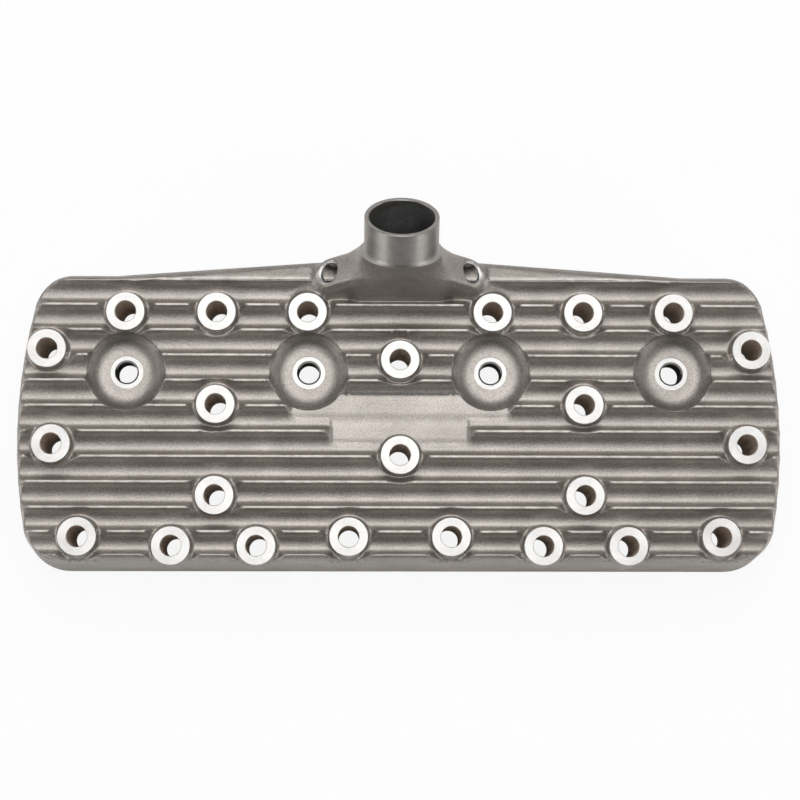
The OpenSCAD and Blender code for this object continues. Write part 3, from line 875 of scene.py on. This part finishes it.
def paint_rib_light_and_shade(nt, co, col, crest_highlight):
    """Painted light on the ribs: a painted highlight on the crests, broken into patches, and painted shade on
    the wells' steep walls.
    """
    x, y, z = separate(nt, co)
    # painted highlight: the rib crests take a lighter colour, broken into patches by noise
    high = map_range(nt, z, 0.0, 1.0, (CREST - 0.8) * MM, (CREST - 0.2) * MM)
    highlight_patches = map_range(nt, noise(nt, co, 130, 3), 0.1, 1.0, 0.4, 0.6)
    col = mix_colour(nt, maths(nt, "MULTIPLY", high, highlight_patches), col, crest_highlight)
    # distance to the nearest plug, of the four that stand a pitch apart
    fold = maths(nt, "ABSOLUTE", maths(nt, "SUBTRACT", maths(nt, "ABSOLUTE", x), PLUG_PITCH * MM))
    dx = maths(nt, "SUBTRACT", fold, PLUG_PITCH * MM / 2)
    dy = maths(nt, "SUBTRACT", y, PLUG_Y * MM)
    r = maths(nt, "SQRT", maths(nt, "ADD", maths(nt, "MULTIPLY", dx, dx), maths(nt, "MULTIPLY", dy, dy)))
    # painted shade: a darker ring over each well's steep wall
    stops = [(0.63, (1, 1, 1)), (0.73, WELL_PAINTED_SHADE), (0.85, WELL_PAINTED_SHADE), (0.91, (1, 1, 1))]
    band = ramp(nt, maths(nt, "MULTIPLY", r, 1 / (WELL_REACH * MM)), stops)
    return mix_colour(nt, 1.0, col, band, "MULTIPLY")


def cast_material(name, light, dark, speck, metallic, rough, grain, crest_highlight=None):
    m, nt, b = principled(name)
    co = nt.nodes.new("ShaderNodeTexCoord").outputs["Object"]
    fine = noise(nt, co, 900, 2, 0.6)
    broad = ramp(nt, noise(nt, co, 55, 4), [(0.35, dark), (0.65, light)])
    specks = ramp(nt, fine, [(0.38, (0.62, 0.6, 0.58)), (0.55, (1, 1, 1)), (0.72, (speck,) * 3)])
    col = mix_colour(nt, 0.55, broad, specks, "MULTIPLY")
    if crest_highlight:
        col = paint_rib_light_and_shade(nt, co, col, crest_highlight)
    nt.links.new(col, b.inputs["Base Color"])
    b.inputs["Metallic"].default_value = metallic
    nt.links.new(map_range(nt, fine, rough - 0.08, rough + 0.1), b.inputs["Roughness"])
    pits = bump(nt, fine, 0.5 * grain, 0.0002)
    grains = bump(nt, noise(nt, co, 2200, 2, 0.7), 0.4 * grain, 0.00008, pits)
    nt.links.new(grains, b.inputs["Normal"])
    return m


def machined_material(name, colour, rough, metallic=0.9, stretch=0.0, lathe=True):
    """The tool's marks follow the rings of a turned piece, or run along x on a milled one."""
    m, nt, b = principled(name)
    co = nt.nodes.new("ShaderNodeTexCoord").outputs["Object"]
    if lathe:
        uv = nt.nodes.new("ShaderNodeUVMap")
        uv.uv_map = "ring"
        across, along, _ = separate(nt, uv.outputs["UV"])
        along = maths(nt, "MULTIPLY", along, 0.06)
    else:
        x, y, _ = separate(nt, co)
        across, along = maths(nt, "MULTIPLY", y, 400), maths(nt, "MULTIPLY", x, 12)
    comb = nt.nodes.new("ShaderNodeCombineXYZ")
    nt.links.new(across, comb.inputs["X"])
    nt.links.new(along, comb.inputs["Y"])
    lines = noise(nt, comb.outputs["Vector"], 7.0, 3, 0.7)
    blot = noise(nt, co, 160, 2)
    marks = ramp(nt, lines, [(0.3, tuple(c * 0.8 for c in colour)), (0.6, colour)])
    blots = ramp(nt, blot, [(0.35, (0.86, 0.86, 0.86)), (0.6, (1, 1, 1))])
    nt.links.new(mix_colour(nt, 0.8, marks, blots, "MULTIPLY"), b.inputs["Base Color"])
    b.inputs["Metallic"].default_value = metallic
    if stretch:
        b.inputs["Anisotropic"].default_value = stretch
        b.inputs["Anisotropic Rotation"].default_value = 0.25
        tangent = nt.nodes.new("ShaderNodeTangent")
        tangent.direction_type = "UV_MAP"
        tangent.uv_map = "ring"
        nt.links.new(tangent.outputs["Tangent"], b.inputs["Tangent"])
    nt.links.new(map_range(nt, blot, rough, rough + 0.18), b.inputs["Roughness"])
    nt.links.new(bump(nt, lines, 0.35, 0.00015), b.inputs["Normal"])
    return m


# painted shade for the wells' steep walls, and the radius that its ring is scaled by
WELL_PAINTED_SHADE, WELL_REACH = (0.7, 0.7, 0.7), 26.0
ALUMINIUM, SHADED = (0.43, 0.398, 0.37), (0.36, 0.332, 0.308)
cast = cast_material("cast_aluminium", ALUMINIUM, SHADED, 1.2, 0.9, 0.45, 1.5)
# the ribs' lighter crest colour is a painted highlight
ribbed = cast_material("cast_ribs", ALUMINIUM, SHADED, 1.2, 0.9, 0.45, 1.5, crest_highlight=(0.48, 0.45, 0.42))
# a near-black colour for the neck's bore, and painted shade on the caps at the ports' ends
dark = cast_material("dark_bore_and_painted_shade", (0.10, 0.105, 0.10), (0.05, 0.053, 0.052), 1.6, 0.2, 0.6, 1.6)
# painted shade: the threads get a dark colour for the shade inside their holes
thread = machined_material("shade_painted_thread", (0.17, 0.165, 0.16), 0.3)
bore = machined_material("drilled_aluminium", (0.80, 0.71, 0.62), 0.5, metallic=0.3)
faced = machined_material("faced_aluminium", (0.64, 0.63, 0.615), 0.3, stretch=0.75)
neck_skin = machined_material("turned_neck", (0.38, 0.36, 0.34), 0.3)
milled = machined_material("milled_aluminium", (0.80, 0.79, 0.78), 0.3, lathe=False)

blank_field, cut_field = tower_fields()
build_top(ribbed)
build_walls(cast)
build_boss_sides(cast)
build_inside(cast, milled)
build_tower(cast, cut_field)
build_neck(neck_skin, blank_field)
build_neck_inside(dark)
build_turned(faced, bore, thread, dark)


# Floor, light and camera
def floor_material():
    """The camera sees nine tenths of an even glow and one of a plain white. Other rays see that white."""
    m, nt, b = principled("floor_white")
    b.inputs["Base Color"].default_value = (0.9, 0.9, 0.9, 1)
    b.inputs["Roughness"].default_value = 0.8
    glow = nt.nodes.new("ShaderNodeEmission")
    glow.inputs["Strength"].default_value = 1.0
    path = nt.nodes.new("ShaderNodeLightPath")
    mixer = nt.nodes.new("ShaderNodeMixShader")
    nt.links.new(maths(nt, "MULTIPLY", path.outputs["Is Camera Ray"], 0.9), mixer.inputs["Fac"])
    nt.links.new(b.outputs["BSDF"], mixer.inputs[1])
    nt.links.new(glow.outputs["Emission"], mixer.inputs[2])
    nt.links.new(mixer.outputs["Shader"], nt.nodes["Material Output"].inputs["Surface"])
    return m


def area_light(name, at, target, width, height, watts):
    data = bpy.data.lights.new(name, "AREA")
    data.energy = watts
    data.shape = "RECTANGLE"
    data.size, data.size_y = width, height
    ob = bpy.data.objects.new(name, data)
    ob.location = at
    ob.rotation_euler = (Vector(target) - Vector(at)).to_track_quat("-Z", "Y").to_euler()
    bpy.context.scene.collection.objects.link(ob)


FLOOR = 9.0
floor_me = bpy.data.meshes.new("floor")
floor_me.from_pydata([(-FLOOR, -FLOOR, 0), (FLOOR, -FLOOR, 0), (FLOOR, FLOOR, 0), (-FLOOR, FLOOR, 0)], [],
                     [(0, 1, 2, 3)])
floor_me.materials.append(floor_material())
floor = bpy.data.objects.new("floor", floor_me)
bpy.context.scene.collection.objects.link(floor)

area_light("softbox", (0.0, 1.0, 1.73), (0, 0, 0.05), 1.8, 2.1, 31)
area_light("top", (0.0, -0.15, 2.0), (0, 0, 0.05), 1.4, 1.0, 9)
area_light("front", (0.0, -1.6, 0.35), (0, 0, 0.03), 2.4, 0.5, 2.5)
for s in (-1, 1):
    area_light("front_side", (s * 1.4, -0.8, 0.45), (0, 0.05, 0.05), 0.9, 0.6, 6.5)
    area_light("side", (s * 1.5, 0.3, 0.5), (0, 0.1, 0.08), 1.0, 0.6, 3.5)
world = bpy.data.worlds.new("studio")
bpy.context.scene.world = world
world.use_nodes = True
world.node_tree.nodes["Background"].inputs["Color"].default_value = (1, 1, 1, 1)
world.node_tree.nodes["Background"].inputs["Strength"].default_value = 0.04

# The photograph's viewing angle: tilts about x, y and z, and where the boss tops' middle lies before the lens
VIEW_TILT = [math.radians(a) for a in (-6.07, 1.22, -0.17)]
VIEW_FROM = Vector((0.1, -4.2, -1384.5))
FOCAL_PX, PHOTO_PX, SENSOR = 2290.0, 800.0, 36.0
tilt_x, tilt_y, tilt_z = (Matrix.Rotation(a, 3, axis) for a, axis in zip(VIEW_TILT, "XYZ"))
turn = (tilt_z @ tilt_y @ tilt_x).transposed()
cam_data = bpy.data.cameras.new("camera")
cam_data.sensor_width = SENSOR
cam_data.lens = FOCAL_PX / PHOTO_PX * SENSOR
cam_data.clip_start = 0.05
cam_data.clip_end = 30.0
cam = bpy.data.objects.new("camera", cam_data)
place = Vector((0, 0, BOSS)) - turn @ VIEW_FROM
cam.matrix_world = Matrix.Translation(place * MM) @ turn.to_4x4()
bpy.context.scene.collection.objects.link(cam)
bpy.context.scene.camera = cam
bpy.context.scene.view_settings.view_transform = "Standard"
